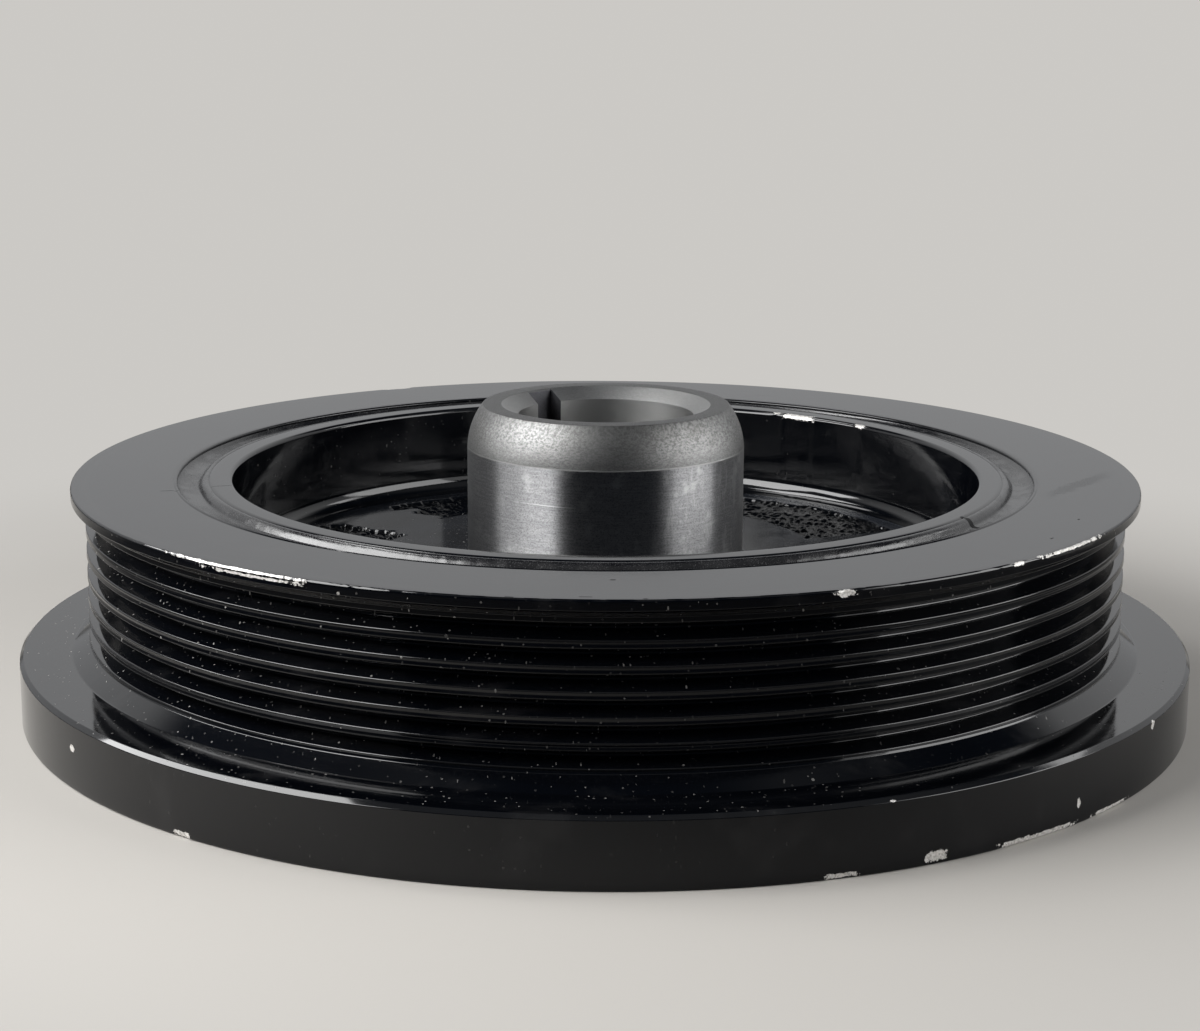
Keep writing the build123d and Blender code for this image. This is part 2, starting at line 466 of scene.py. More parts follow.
def hub_cutters():
    """The keyway, the puller holes and the pockets that the cast skins fill."""
    key = prism("key", [(0, -KEY_WIDTH / 2), (KEY_FLOOR_R, -KEY_WIDTH / 2),
                        (KEY_FLOOR_R, KEY_WIDTH / 2), (0, KEY_WIDTH / 2)],
                BOSS_LOW_Z, NOSE_TOP_Z + 1)
    key.data.transform(Matrix.Rotation(math.radians(KEY_AT), 4, "Z"))
    holes = [puller_hole(at, WEB_LOW_Z - 2) for at in PULLER_AT]
    pockets = [prism("pocket", sector(s - POCKET_MARGIN, s + SKIN_SPAN + POCKET_MARGIN,
                                      POCKET_IN, POCKET_OUT), POCKET_LOW_Z, WEB_TOP_Z + 1)
               for s in SKIN_STARTS]
    return [key, *holes, *pockets]


hub = lathe("hub_body", hub_profile(), HUB_TURNS, dents(RIM_CHIPS, 12))
cut(hub, hub_cutters())
smooth(hub)
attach(hub, "root")
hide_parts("hub")


# ---- cast skin that the facing cut left ------------------------------------------------

SKIN_MID_R = 48
SKIN_SUNK = 0.14                    # how far the pebbles' feet lie below the patch's floor
SKIN_GRID = (420, 82)               # points round and across a patch
PEBBLES = ((1.30, 0.60, 0.50), (0.85, 0.34, 0.48))     # spacing, height, radius in cells


def skin_inside(x, y, start, seed):
    """Above 0 inside a patch's ragged outline, and 1 or more where it has its full depth."""
    r, az = np.hypot(x, y), (np.degrees(np.arctan2(y, x)) - start) % 360
    az = np.where(az > 300, az - 360, az)
    arc, span = arc_mm(az, SKIN_MID_R), arc_mm(SKIN_SPAN, SKIN_MID_R)
    t = np.clip(az / SKIN_FLAT_SPAN, 0, 1)
    near = SKIN_NEAR_R + (SKIN_INNER_R - SKIN_NEAR_R) * t
    ragged = (value_noise(x * 0.35 + 40, y * 0.35 + 40, seed) * 1.2
              + value_noise(x * 1.1 + 90, y * 1.1 + 90, seed + 1) * 0.6)
    raggedness = 0.15 if start < 90 else 1.6       # the right patch starts along a cut edge
    return np.minimum.reduce([
        (r - near) / 0.5, (SKIN_OUTER_R - r + ragged * 0.5) / 1.0,
        (arc + ragged * raggedness) / 0.8, (span - arc + ragged * 2.0) / 2.4])


def domes(x, y, spacing, height, radius, seed):
    far, tall = grains(x, y, spacing, seed)
    return height * tall * np.sqrt(np.clip(1 - (far / radius) ** 2, 0, 1))


def skin_height(x, y, start, seed):
    """The web's face: turned flat, except where the casting lay below the cut."""
    inside = skin_inside(x, y, start, seed)
    large, small = PEBBLES
    pebbles = np.maximum(domes(x, y, *large, seed + 2),
                         domes(x + 31, y + 17, *small, seed + 3))
    rolling = (0.10 * value_noise(x * 0.12 + 7, y * 0.12 + 7, seed + 4)
               + 0.18 * value_noise(x * 0.55 + 3, y * 0.55 + 5, seed + 5))
    floor = -SKIN_DEPTH * step(0.0, 1.0, inside)
    cast = floor + (pebbles + rolling - SKIN_SUNK) * step(0.0, 0.8, inside)
    return WEB_TOP_Z + np.minimum(0.0, cast)


def skin_patch(name, start, seed):
    """The slab that fills one pocket, pebbled on top."""
    first, last = start - POCKET_MARGIN, start + SKIN_SPAN + POCKET_MARGIN
    az = np.radians(np.linspace(first, last, SKIN_GRID[0]))
    rad = np.linspace(POCKET_IN, POCKET_OUT, SKIN_GRID[1])
    az, rad = np.meshgrid(az, rad, indexing="ij")
    x, y = rad * np.cos(az), rad * np.sin(az)
    obj = slab(name, x, y, skin_height(x, y, start, seed), POCKET_LOW_Z)
    for at in PULLER_AT:
        if first < at < last:
            cut(obj, [puller_hole(at, WEB_LOW_Z)])
    smooth(obj, 50)
    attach(obj, "root")
    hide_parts("hub")
    return obj


skins = [skin_patch("cast_skin_right", SKIN_STARTS[0], 21),
         skin_patch("cast_skin_left", SKIN_STARTS[1], 31)]


# ---- node graphs -----------------------------------------------------------------------

class Graph:
    """A material's nodes, written as sums.  x, y, z and r are in mm, az in degrees."""

    def __init__(self, name):
        self.mat = bpy.data.materials.new(name)
        self.mat.use_nodes = True
        self.tree = self.mat.node_tree
        self.shader = self.tree.nodes["Principled BSDF"]
        coords = self.add("ShaderNodeTexCoord").outputs["Object"]
        scaled = self.add("ShaderNodeVectorMath", operation="SCALE")
        self.join(coords, scaled.inputs[0])
        scaled.inputs["Scale"].default_value = 1 / MM
        self.p = scaled.outputs[0]
        parts = self.add("ShaderNodeSeparateXYZ")
        self.join(self.p, parts.inputs[0])
        self.x, self.y, self.z = parts.outputs
        self.r = self.distance(self.x, self.y)
        self.az = self.times(self.op("ARCTAN2", self.y, self.x), math.degrees(1))
        normal = self.add("ShaderNodeNewGeometry").outputs["True Normal"]
        parts = self.add("ShaderNodeSeparateXYZ")
        self.join(normal, parts.inputs[0])
        self.up = parts.outputs[2]

    def add(self, kind, **props):
        node = self.tree.nodes.new(kind)
        for key, value in props.items():
            setattr(node, key, value)
        return node

    def join(self, value, socket):
        if isinstance(value, bpy.types.NodeSocket):
            self.tree.links.new(value, socket)
        else:
            socket.default_value = value

    def op(self, kind, *values):
        node = self.add("ShaderNodeMath", operation=kind)
        for i, value in enumerate(values):
            self.join(value, node.inputs[i])
        return node.outputs[0]

    def plus(self, a, b):
        return self.op("ADD", a, b)

    def minus(self, a, b):
        return self.op("SUBTRACT", a, b)

    def times(self, a, *others):
        for b in others:
            a = self.op("MULTIPLY", a, b)
        return a

    def size(self, a):
        return self.op("ABSOLUTE", a)

    def distance(self, a, b):
        return self.op("SQRT", self.plus(self.times(a, a), self.times(b, b)))

    def below(self, a, b):
        """1 where a is less than b, else 0."""
        return self.op("LESS_THAN", a, b)

    def above(self, a, b):
        return self.op("GREATER_THAN", a, b)

    def stretched(self, x, y, z):
        """The point, with its coordinates scaled."""
        return self.vec(self.times(self.x, x), self.times(self.y, y), self.times(self.z, z))

    def line(self, value, middle, full, none):
        """1 within full of the middle, falling to 0 at none."""
        return self.ramp(self.size(self.minus(value, middle)), full, none, 1.0, 0.0)

    def vec(self, x, y, z):
        node = self.add("ShaderNodeCombineXYZ")
        for value, socket in zip((x, y, z), node.inputs):
            self.join(value, socket)
        return node.outputs[0]

    def noise(self, where, scale, detail=3.0, rough=0.5):
        """Smooth noise; scale is in features per mm."""
        node = self.add("ShaderNodeTexNoise")
        self.join(where, node.inputs["Vector"])
        node.inputs["Scale"].default_value = scale
        node.inputs["Detail"].default_value = detail
        node.inputs["Roughness"].default_value = rough
        return node.outputs[0]

    def cells(self, where, scale):
        """Distance to the nearest of scattered points, and three random numbers for each."""
        node = self.add("ShaderNodeTexVoronoi")
        self.join(where, node.inputs["Vector"])
        node.inputs["Scale"].default_value = scale
        split = self.add("ShaderNodeSeparateColor")
        self.join(node.outputs["Color"], split.inputs[0])
        return node.outputs["Distance"], split.outputs

    def ramp(self, value, low, high, to_low=0.0, to_high=1.0):
        """to_low at low, to_high at high, smooth in between and level beyond."""
        node = self.add("ShaderNodeMapRange", interpolation_type="SMOOTHSTEP")
        for i, item in enumerate((value, low, high, to_low, to_high)):
            self.join(item, node.inputs[i])
        return node.outputs[0]

    def blend(self, a, b, factor):
        """Numbers: a where factor is 0, b where it is 1."""
        node = self.add("ShaderNodeMix", data_type="FLOAT")
        self.join(factor, node.inputs[0])
        self.join(a, node.inputs[2])
        self.join(b, node.inputs[3])
        return node.outputs[0]

    def tint(self, a, b, factor):
        """Colours: a where factor is 0, b where it is 1."""
        node = self.add("ShaderNodeMix", data_type="RGBA")
        self.join(factor, node.inputs[0])
        for value, socket in ((a, node.inputs[6]), (b, node.inputs[7])):
            self.join(value if isinstance(value, bpy.types.NodeSocket) else (*value, 1.0), socket)
        return node.outputs[2]

    def bump(self, height, depth):
        """depth is the height's full range in mm."""
        node = self.add("ShaderNodeBump")
        node.inputs["Strength"].default_value = 1.0
        node.inputs["Distance"].default_value = depth * MM
        self.join(height, node.inputs["Height"])
        return node.outputs[0]

    def surface(self, **inputs):
        """Set or link the shader's inputs, named with _ for each space."""
        for key, value in inputs.items():
            socket = self.shader.inputs[key.replace("_", " ")]
            self.join((*value, 1.0) if isinstance(value, tuple) else value, socket)

    def marks(self, chips, ragged):
        """1 inside any of the chips, 0 outside."""
        total = 0.0
        for az, length, r0, z0, half in chips:
            along = self.times(self.size(self.minus(self.az, az)), arc_mm(1, r0) * 2 / length)
            from_middle = self.distance(self.minus(self.r, r0), self.minus(self.z, z0))
            across = self.times(from_middle, 1 / half)
            if length > 6 * half:
                far = self.op("MAXIMUM", along, across)
            else:
                far = self.distance(along, across)
            inside = self.below(self.plus(far, ragged), 1.0)
            total = inside if isinstance(total, float) else self.op("MAXIMUM", total, inside)
        return total


# ---- black paint -----------------------------------------------------------------------

PAINT_DARK, PAINT_LIGHT = (0.0005, 0.0008, 0.0016), (0.0018, 0.0022, 0.0033)
SMUDGE_TONE, FILM_TONE = (0.012, 0.012, 0.013), (0.030, 0.030, 0.030)
# the haze tone is a dust film on the web and partly a painted sheen
RUBBED_TONE, HAZE_AND_SHEEN_TONE = (0.009, 0.009, 0.009), (0.036, 0.040, 0.049)
DUST_TONE, NICK_TONE = (0.29, 0.28, 0.265), (0.004, 0.004, 0.004)
CHIP_DARK, CHIP_LIGHT = (0.42, 0.40, 0.37), (0.82, 0.80, 0.77)
PIT_DEPTH, PIT_SHADE_GLOSS = 0.28, 0.16           # mm below the web's face, specular level; the low specular level is painted shade in the pits
WIPED_AT, WIPED_SLOPE = (68.1, -20.3), 1.31         # a point on the wiped line, mm
RUBBED_LOW_Z = 12.0                         # the paint is whole below this


def dust(g):
    """Pale specks and short fibres, most of them in the grooves and on the flange."""
    total = 0.0
    for where, scale, size, share in (
            (g.p, 0.95, 0.115, 0.8), (g.p, 0.36, 0.062, 0.6),
            (g.stretched(2.2, 0.6, 0.9), 0.55, 0.10, 0.5)):
        near, rnd = g.cells(where, scale)
        reach = g.times(g.plus(rnd[1], 0.5), size)
        speck = g.times(g.below(near, reach), g.below(rnd[0], share))
        speck = g.times(speck, g.plus(0.12, g.times(rnd[2], rnd[2], 0.88)))
        total = speck if isinstance(total, float) else g.op("MAXIMUM", total, speck)
    patchy = g.times(g.ramp(g.noise(g.p, 0.06, 2), 0.36, 0.6, 0.3, 1.0),
                     g.ramp(g.x, -40.0, 30.0, 1.0, 0.45))
    low = g.below(g.z, RING_TOP_Z - 0.3)
    off_side = g.below(g.r, FLANGE_R - 0.3)
    zone = g.plus(0.12, g.times(0.88, g.times(low, off_side)))
    return g.times(total, patchy, zone)


def web_zones(g):
    """The cast skin on the web's face, and a dust haze over what was turned. The haze's pale
    colour is partly a painted sheen, made lighter to the right as painted light.
    """
    on_web = g.times(g.below(g.r, 57.5), g.above(g.r, SEAL_R + 1.5),
                     g.below(g.z, WEB_TOP_Z + 0.3), g.above(g.z, WEB_TOP_Z - 1.5))
    cast = g.times(on_web, g.ramp(g.z, WEB_TOP_Z - 0.02, WEB_TOP_Z - 0.12))
    uneven = g.ramp(g.noise(g.p, 0.10, 4), 0.35, 0.65, 0.45, 1.0)
    outward = g.ramp(g.r, 24.0, 38.0, 0.6, 1.0)
    # painted light: the haze and sheen are made lighter towards the right
    painted_light_rightward = g.ramp(g.x, -20.0, 30.0, 0.45, 1.15)
    haze_and_sheen = g.times(on_web, g.minus(1.0, cast), uneven, outward, painted_light_rightward)
    return cast, haze_and_sheen


def wiped_mark(g):
    """A wiped line across the lip's face."""
    x, y = WIPED_AT
    off = g.minus(g.y, g.plus(g.times(g.minus(g.x, x), WIPED_SLOPE), y))
    wavy = g.times(g.minus(g.noise(g.p, 0.35, 4, 0.7), 0.5), 7.0)
    line = g.ramp(g.size(g.plus(off, wavy)), 1.2, 3.2, 1.0, 0.0)
    span = g.times(g.ramp(g.x, 67.0, 71.0), g.ramp(g.x, 79.0, 84.0, 1.0, 0.0))
    return g.times(line, span, g.above(g.z, RING_TOP_Z - 0.02))


def rubbed_crests(g):
    """Where the paint is rubbed thin, along both edges of each crest."""
    turns = g.plus(g.times(g.minus(g.z, TOP_CREST_Z), 1 / GROOVE_PITCH), 0.5)
    from_crest = g.times(g.minus(g.op("FRACT", turns), 0.5), GROOVE_PITCH)
    edge = g.line(g.size(from_crest), CREST_WIDTH / 2 - 0.08, 0.05, 0.16)
    return g.times(edge, g.above(g.r, CREST_R - 0.4), g.below(g.r, CREST_R + 0.2),
                   g.above(g.z, RUBBED_LOW_Z))


def paint(name, chips, nicks, dust_level, edge_r, gloss=0.5):
    """Gloss black over turned iron, chipped to bare metal, with bloom beside the rubber."""
    g = Graph(name)
    cloud = g.noise(g.p, 0.045, 4)
    grit = g.noise(g.p, 2.4, 3, 0.7)
    smudge = g.ramp(g.noise(g.stretched(1.0, 2.0, 1.0), 0.075, 5, 0.6), 0.54, 0.72)
    ragged = g.times(g.minus(g.noise(g.p, 0.95, 5, 0.75), 0.5), 2.6)
    chip = g.marks(chips, ragged)
    nick = g.marks(nicks, g.times(ragged, 0.3))
    specks = g.times(dust(g), dust_level)
    cast, haze_and_sheen = web_zones(g)
    film = g.times(g.ramp(grit, 0.45, 0.75), g.below(g.r, LIP_R - 1.0))
    # rubber bloom, ragged along its edge, where the metal borders the rubber
    from_rubber = g.plus(g.size(g.minus(g.r, edge_r)), g.times(g.noise(g.p, 0.42, 4, 0.7), 3.2))
    bloom = g.times(g.ramp(from_rubber, 2.0, 1.2), g.above(g.z, RING_TOP_Z - 2))
    chip_tone = g.tint(CHIP_DARK, CHIP_LIGHT, g.ramp(grit, 0.3, 0.6))

    colour = g.tint(PAINT_DARK, PAINT_LIGHT, cloud)
    # of these tones, the haze tone is partly a painted sheen
    for tone, share in (
            (SMUDGE_TONE, g.times(smudge, 0.5)), (FILM_TONE, g.times(film, 0.08)),
            (RUBBED_TONE, g.times(rubbed_crests(g), 0.6)), (HAZE_AND_SHEEN_TONE, g.times(haze_and_sheen, 0.8)),
            (DUST_TONE, specks), (chip_tone, chip), (NICK_TONE, nick)):
        colour = g.tint(colour, tone, share)

    rough = g.ramp(cloud, 0.3, 0.7, 0.06, 0.10)
    for area, more in ((smudge, 0.07), (film, 0.03), (haze_and_sheen, 0.14), (wiped_mark(g), 0.16),
                       (cast, 0.03)):
        rough = g.plus(rough, g.times(area, more))
    for level, share in ((0.26, bloom), (0.8, specks), (0.42, chip), (0.7, nick)):
        rough = g.blend(rough, level, share)

    along_cut = g.vec(g.times(g.x, 0.02), g.times(g.y, 0.02), g.times(g.plus(g.r, g.z), 2.6))
    tool_marks = g.noise(along_cut, 1.0, 2, 0.7)
    height = g.plus(g.times(g.noise(g.p, 0.5, 1), 0.4), g.times(tool_marks, 0.5))
    g.surface(Base_Color=colour, Roughness=rough, Metallic=g.times(chip, 0.45),
              Normal=g.bump(height, 0.006), IOR=1.5, Specular_IOR_Level=gloss)
    return g.mat


# ---- bare steel ------------------------------------------------------------------------

GROUND_DARK, GROUND_LIGHT = (0.24, 0.24, 0.247), (0.36, 0.36, 0.36)
SPECKLE_TONE, SMEAR_TONE, SCORE_TONE = (0.14, 0.14, 0.147), (0.52, 0.52, 0.515), (0.55, 0.55, 0.55)
SCORE_Z = 35.3                              # a scored line on the journal, front left
STAIN_TONE, PIT_SHADE_TONE = (0.11, 0.10, 0.09), (0.01, 0.01, 0.01)
SHOULDER_PIT = (8.4, -20.0, 46.6)           # a small casting pit above the journal, with no hollow modelled: a near-black dot is painted as the shade inside it


def ground_steel():
    """The seal journal: fine grinding lines run round it, so light spreads up and down."""
    g = Graph("ground_steel")
    lines = g.noise(g.stretched(0.07, 0.07, 1.0), 4.0, 4, 0.75)
    speckle = g.noise(g.stretched(0.8, 0.8, 1.0), 4.6, 3, 0.8)
    upright_smears = g.ramp(g.noise(g.stretched(0.9, 0.9, 0.22), 0.8, 4, 0.65), 0.54, 0.66)
    smear = g.op("MAXIMUM", g.ramp(g.noise(g.p, 0.22, 5, 0.65), 0.54, 0.68),
                 g.times(upright_smears, g.ramp(g.x, 4.0, 10.0, 0.0, 0.55)))
    score = g.times(g.line(g.plus(g.z, g.times(g.x, 0.012)), SCORE_Z, 0.04, 0.12),
                    g.ramp(g.x, -15.0, -9.0), g.ramp(g.x, -5.5, -4.0, 1.0, 0.0))
    tone = g.tint(GROUND_DARK, GROUND_LIGHT, g.ramp(lines, 0.3, 0.7))
    tone = g.tint(tone, SPECKLE_TONE, g.times(g.ramp(speckle, 0.46, 0.62), 0.72))
    tone = g.tint(tone, SMEAR_TONE, g.times(smear, g.ramp(g.x, 0.0, 6.0, 0.35, 0.6)))
    tone = g.tint(tone, SCORE_TONE, g.times(score, 0.62, g.below(g.y, 0.0)))
    around = g.add("ShaderNodeTangent", direction_type="RADIAL", axis="Z").outputs[0]
    g.surface(Base_Color=tone, Roughness=g.plus(0.37, g.times(smear, 0.05)), Metallic=1.0,
              Anisotropic=1.0, Anisotropic_Rotation=0.25, Tangent=around)
    return g.mat


def turned_steel(name, base, rough, grain):
    """Shoulder, end face and bore: duller, with short scratches round the axis and pits. Painted
    shade darkens faces that point up, the shoulder's front middle and one casting pit. Painted
    highlight lightens the shoulder low down and along its lower edge.
    """
    g = Graph(name)

    def times_base(k):
        return tuple(k * c for c in base)

    round_axis = g.vec(g.times(g.x, 0.55), g.times(g.y, 0.55), g.times(g.plus(g.z, g.r), 1.5))
    streak = g.noise(round_axis, 3.6, 3, 0.7)
    pits = g.noise(g.stretched(1.0, 1.0, 1.3), 6.2, 3, 0.8)
    stain = g.ramp(g.noise(g.p, 0.14, 4, 0.6), 0.45, 0.7)
    squares = [g.op("POWER", g.minus(here, pit), 2.0)
               for here, pit in zip((g.x, g.y, g.z), SHOULDER_PIT)]
    # painted shade: the casting pit is only a near-black dot
    pit = g.below(g.plus(g.plus(squares[0], squares[1]), squares[2]), 0.07)
    # painted shade: faces that point up, such as the end face, are darkened for how light falls on
    # them
    end_face_shade = g.ramp(g.up, 0.93, 0.99)
    sideways = g.size(g.plus(g.x, -1.0))
    # painted shade: the shoulder's front middle is darkened, standing in for a dark reflection
    painted_shade_front = g.times(g.ramp(sideways, 3.0, 10.0, 1.0, 0.0), g.below(g.y, 0.0))
    # painted highlight: the shoulder is lightened low down, most towards its sides
    painted_highlight_low = g.times(g.ramp(g.z, SHOULDER_Z, SHOULDER_Z + 4.0, 1.0, 0.0),
                         g.ramp(sideways, 5.0, 14.0, 0.35, 1.0))

    tone = g.tint(times_base(0.62), times_base(1.30), g.ramp(streak, 0.36, 0.62))
    for over, share in (
            (times_base(0.38), g.times(g.ramp(pits, 0.50, 0.66), 0.7)),
            (STAIN_TONE, g.times(stain, 0.2)), (PIT_SHADE_TONE, pit),
            (times_base(0.42), g.times(end_face_shade, 0.75)),
            (times_base(0.42), g.times(painted_shade_front, 0.62)),
            (times_base(1.7), g.times(painted_highlight_low, 0.40)),
            # painted highlight: a bright line along the shoulder's lower edge
            (times_base(2.2), g.times(g.line(g.z, SHOULDER_Z + 0.1, 0.06, 0.16), 0.6)),
            (times_base(1.9), g.times(g.below(g.r, LEAD_IN_R - 0.05), 0.6)),
            (times_base(1.3), g.times(g.below(g.r, BORE_R + 0.05), 0.9))):
        tone = g.tint(tone, over, share)
    g.surface(Base_Color=tone, Roughness=g.ramp(pits, 0.3, 0.7, rough - 0.08, rough + 0.08),
              Normal=g.bump(g.plus(g.times(streak, 0.5), pits), grain), Metallic=1.0)
    return g.mat


# ---- rubber ----------------------------------------------------------------------------

RUBBER_DARK, RUBBER_LIGHT = (0.006, 0.006, 0.007), (0.020, 0.020, 0.021)
OVERSPRAY_TONE, CUT_TONE = (0.05, 0.05, 0.052), (0.002, 0.002, 0.002)


def rubber_material():
    """Black elastomer under overspray: a dull gloss with paler and duller patches."""
    g = Graph("rubber_overspray")
    patch = g.ramp(g.noise(g.p, 0.20, 4, 0.6), 0.40, 0.62)
    mottle = g.noise(g.p, 1.4, 4, 0.7)
    dots = g.ramp(g.noise(g.p, 4.5, 2, 0.6), 0.56, 0.66)
    nick = g.marks(RUBBER_NICKS, 0.0)
    colour = g.tint(RUBBER_DARK, RUBBER_LIGHT, g.times(patch, mottle))
    colour = g.tint(colour, OVERSPRAY_TONE, g.times(dots, 0.35))
    colour = g.tint(colour, CUT_TONE, nick)
    rough = g.plus(g.ramp(patch, 0.0, 1.0, 0.17, 0.27), g.times(dots, 0.15))
    rough = g.blend(rough, 0.9, nick)
    g.surface(Base_Color=colour, Roughness=rough, Normal=g.bump(mottle, 0.018), IOR=1.6)
    return g.mat


# ---- each piece gets its materials -----------------------------------------------------

HUB_DUST = 0.35                             # the ring's own dust level is 1
PAINTED, GROUND, TURNED, IN_KEYWAY = range(4)       # the hub's materials, in order


def dress(obj, *mats):
    obj.data.materials.clear()
    for mat in mats:
        obj.data.materials.append(mat)


def bare_faces():
    """The seal journal is ground; shoulder, bore, key and bolt seat are turned and unpainted. The
    keyway's faces get a far darker steel, painted shade in the slot.
    """
    along_key = Vector(on_circle(1, KEY_AT))
    across_key = Vector(on_circle(1, KEY_AT + 90))
    for face in hub.data.polygons:
        c = face.center / MM
        r = math.hypot(c.x, c.y)
        index = PAINTED
        if r < SEAL_R + 0.02 and c.z > WEB_TOP_Z + NOSE_FILLET:
            on_journal = c.z < SHOULDER_Z - 0.05 and r > SEAL_R - 0.1
            index = GROUND if on_journal else TURNED
        elif r < BOLT_SEAT_R + 0.05 and c.z > BOSS_LOW_Z + 0.5:
            index = TURNED
        along = Vector((c.x, c.y)).dot(along_key)
        aside = abs(Vector((c.x, c.y)).dot(across_key))
        on_wall = abs(aside - KEY_WIDTH / 2) < 0.02 and BORE_R - 0.8 < along
        on_floor = abs(along - KEY_FLOOR_R) < 0.02 and aside < KEY_WIDTH / 2
        if on_wall or on_floor:
            index = IN_KEYWAY
        face.material_index = index


def shade_pits(skin):
    """Between the pebbles of the cast skin the paint gets a far lower specular level, painted
    shade in the hollows.
    """
    for face in skin.data.polygons:
        c = face.center / MM
        face.material_index = int(WEB_LOW_Z + 1 < c.z < WEB_TOP_Z - PIT_DEPTH)


paint_ring = paint("ring_paint", RING_CHIPS, RING_NICKS, 1.0, RING_BORE_R)
paint_hub = paint("hub_paint", RIM_CHIPS, RIM_NICKS, HUB_DUST, RIM_R)
turned = turned_steel("turned_steel", (0.205, 0.205, 0.202), 0.40, 0.050)
# painted shade: the keyway's steel is given a far darker tone for the shade in the slot
keyway_shade_steel = turned_steel("keyway_shade_steel", (0.06, 0.06, 0.065), 0.45, 0.030)
# painted shade: this paint reflects far less, for the hollows between the pebbles
paint_pit_shade = paint("pit_shade_paint", RIM_CHIPS, RIM_NICKS, HUB_DUST, RIM_R, PIT_SHADE_GLOSS)

dress(ring, paint_ring)
dress(rubber, rubber_material())
dress(hub, paint_hub, ground_steel(), turned, keyway_shade_steel)
bare_faces()
for skin in skins:
    dress(skin, paint_hub, paint_pit_shade)
    shade_pits(skin)


# ---- stage, light and camera -----------------------------------------------------------

NEAR_FLOOR, FAR_FLOOR = (0.48, 0.46, 0.43), (0.60, 0.585, 0.56)
BLACK = (0.0, 0.0, 0.0)
FLOOR_REACH = 6.0                           # metres
SHADE_X, SHADE_Y = 60.0, -190.0             # mm, the middle of the floor's dim part
BACKDROP = (0.62, 0.625, 0.63)              # what the camera sees above the floor
ROOM_LIGHT = (0.013, 0.018, 0.027)
WALL_LOW, WALL_HIGH, FRONT_GLOW = 0.40, 0.80, 0.20


def stage_floor():
    """A pale floor; in reflections it stays pale near the part and dims in front of it."""
    mesh = bpy.data.meshes.new("floor")
    s = FLOOR_REACH
    mesh.from_pydata([(-s, -s, 0), (s, -s, 0), (s, s, 0), (-s, s, 0)], [], [(0, 1, 2, 3)])
    obj = bpy.data.objects.new("floor", mesh)
    bpy.context.scene.collection.objects.link(obj)
    g = Graph("floor_paper")
    path = g.add("ShaderNodeLightPath")
    near = g.ramp(g.r, 124.0, 142.0, 1.0, 0.0)
    near = g.op("MAXIMUM", near, g.ramp(g.y, 0.0, 150.0))
    from_shade = g.distance(g.minus(g.x, SHADE_X), g.minus(g.y, SHADE_Y))
    mirrored = g.op("MAXIMUM", g.times(near, g.ramp(from_shade, 60.0, 180.0, 0.35, 1.0)), 0.06)
    level = g.blend(1.0, mirrored, path.outputs["Is Glossy Ray"])
    g.surface(Base_Color=g.tint(BLACK, NEAR_FLOOR, level), Roughness=0.8,
              Specular_IOR_Level=0.1)
    # far off, the camera sees an even pale ground
    glow = g.add("ShaderNodeEmission")
    glow.inputs["Color"].default_value = (*FAR_FLOOR, 1.0)
    mix = g.add("ShaderNodeMixShader")
    g.join(g.times(g.ramp(g.r, 104.0, 215.0), path.outputs["Is Camera Ray"]), mix.inputs[0])
    g.tree.links.new(g.shader.outputs[0], mix.inputs[1])
    g.tree.links.new(glow.outputs[0], mix.inputs[2])
    g.tree.links.new(mix.outputs[0], g.tree.nodes["Material Output"].inputs["Surface"])
    dress(obj, g.mat)


def studio_world():
    """A pale wall behind the part up to about 30 degrees, and a dim room around it."""
    world = bpy.data.worlds.new("studio")
    bpy.context.scene.world = world
    world.use_nodes = True
    tree = world.node_tree

    def output(kind, socket):
        return tree.nodes.new(kind).outputs[socket]

    def node(kind, *values, **props):
        n = tree.nodes.new(kind)
        for key, value in props.items():
            setattr(n, key, value)
        for i, value in enumerate(values):
            if isinstance(value, bpy.types.NodeSocket):
                tree.links.new(value, n.inputs[i])
            else:
                n.inputs[i].default_value = value
        return n.outputs[0]

    def ramp(*values):
        return node("ShaderNodeMapRange", *values, interpolation_type="SMOOTHSTEP")

    def times(a, b):
        return node("ShaderNodeMath", a, b, operation="MULTIPLY")

    def plus(a, b):
        return node("ShaderNodeMath", a, b, operation="ADD")

    parts = tree.nodes.new("ShaderNodeSeparateXYZ")
    tree.links.new(output("ShaderNodeTexCoord", "Generated"), parts.inputs[0])
    backward, upward = parts.outputs[1:]
    wall = times(ramp(backward, -0.15, 0.30, 0.0, 1.0), ramp(upward, 0.50, 0.64, 1.0, 0.0))
    wall = times(wall, ramp(upward, -0.05, 0.50, WALL_LOW, WALL_HIGH))
    front = times(ramp(backward, -0.15, 0.30, 1.0, 0.0),
                  times(ramp(upward, 0.55, 0.72, 0.0, FRONT_GLOW),
                        ramp(upward, 0.93, 0.99, 1.0, 0.0)))
    light = plus(wall, front)
    tone = node("ShaderNodeCombineColor", *[plus(light, dim) for dim in ROOM_LIGHT])
    pick = tree.nodes.new("ShaderNodeMix")
    pick.data_type = "RGBA"
    tree.links.new(output("ShaderNodeLightPath", "Is Camera Ray"), pick.inputs[0])
    tree.links.new(tone, pick.inputs[6])
    pick.inputs[7].default_value = (*BACKDROP, 1)
    background = tree.nodes["Background"]
    tree.links.new(pick.outputs[2], background.inputs["Color"])
    background.inputs["Strength"].default_value = 1.0


def panel(name, place, aim, width, height, radiance):
    """A soft rectangular lamp, given by how bright it looks."""
    data = bpy.data.lights.new(name, "AREA")
    data.shape, data.size, data.size_y = "RECTANGLE", width, height
    data.energy = radiance * math.pi * width * height
    obj = bpy.data.objects.new(name, data)
    obj.location = place
    obj.rotation_euler = (Vector(aim) - Vector(place)).to_track_quat("-Z", "Y").to_euler()
    obj.visible_camera = False
    bpy.context.scene.collection.objects.link(obj)


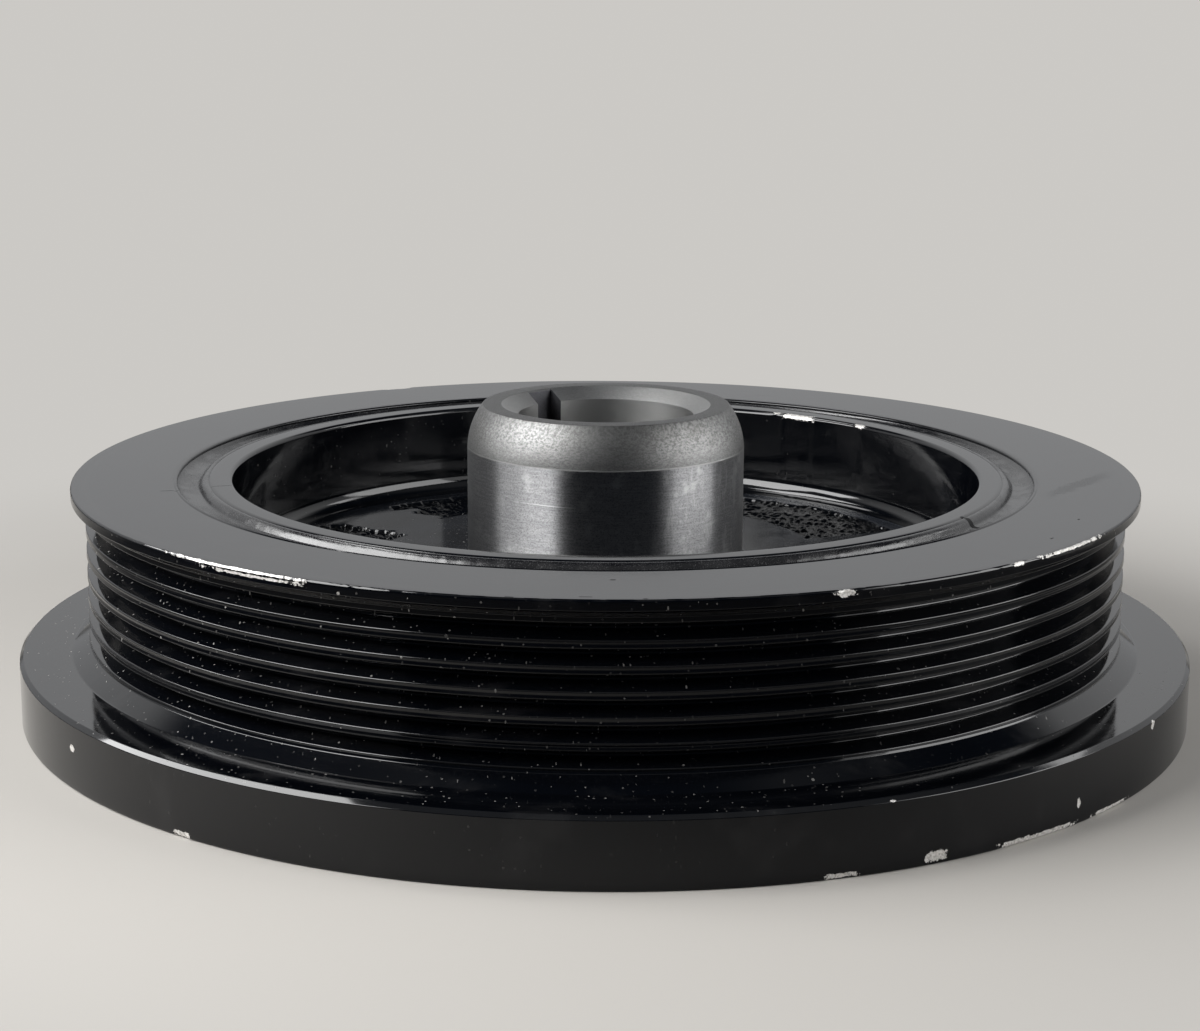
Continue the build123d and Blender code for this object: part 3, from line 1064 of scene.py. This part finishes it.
def upright(name, x, near, far, low, high, radiance):
    """An upright lamp beside the part, square to X; metres."""
    place = (x, (near + far) / 2, (low + high) / 2)
    panel(name, place, (0, place[1], place[2]), far - near, high - low, radiance)


def window(name, left, right, low, high, away, radiance):
    """An upright lamp that fills these degrees round the part and above the floor."""
    mid, half = math.radians((left + right) / 2), math.radians(abs(right - left) / 2)
    bottom, top = (away * math.tan(math.radians(e)) for e in (low, high))
    place = (away * math.cos(mid), away * math.sin(mid), (bottom + top) / 2)
    panel(name, place, (0, 0, place[2]), 2 * away * math.tan(half), top - bottom, radiance)


stage_floor()
studio_world()
# name, x, near, far, low, high (metres), radiance
upright("window_left_low", -0.30, -0.33, 0.065, 0.135, 0.25, 10.0)
upright("window_left_high", -0.30, -0.33, -0.01, 0.25, 0.45, 10.0)
upright("window_left_top", -0.30, 0.08, 0.26, 0.42, 0.74, 9.0)
# name, left, right, low, high (degrees), distance (metres), radiance
window("window_right", -32, 8, 4, 39, 0.90, 4.9)
window("window_right_edge", -42, -32, 6, 30, 0.90, 1.3)
window("skylight_right", 13, 27, 31, 39, 0.90, 3.6)

CAMERA_BACK, CAMERA_UP = 412.6, 121.7          # mm from the crankshaft axis, above the floor
CAMERA_PITCH, CAMERA_YAW, CAMERA_ROLL = 12.62, 0.12, 0.28
FOCAL_PX, PHOTO_W = 2579.0, 1200.0
SENSOR = 36.0

cam_data = bpy.data.cameras.new("camera")
cam = bpy.data.objects.new("camera", cam_data)
bpy.context.scene.collection.objects.link(cam)
cam_data.sensor_fit = "HORIZONTAL"
cam_data.sensor_width = SENSOR
cam_data.lens = SENSOR * FOCAL_PX / PHOTO_W
cam_data.clip_start, cam_data.clip_end = 0.01, 50.0
cam.matrix_world = (Matrix.Translation((0, -CAMERA_BACK * MM, CAMERA_UP * MM))
                    @ Matrix.Rotation(math.radians(CAMERA_YAW), 4, "Z")
                    @ Matrix.Rotation(math.radians(90 - CAMERA_PITCH), 4, "X")
                    @ Matrix.Rotation(math.radians(CAMERA_ROLL), 4, "Z"))
bpy.context.scene.camera = cam
bpy.context.scene.view_settings.view_transform = "Standard"
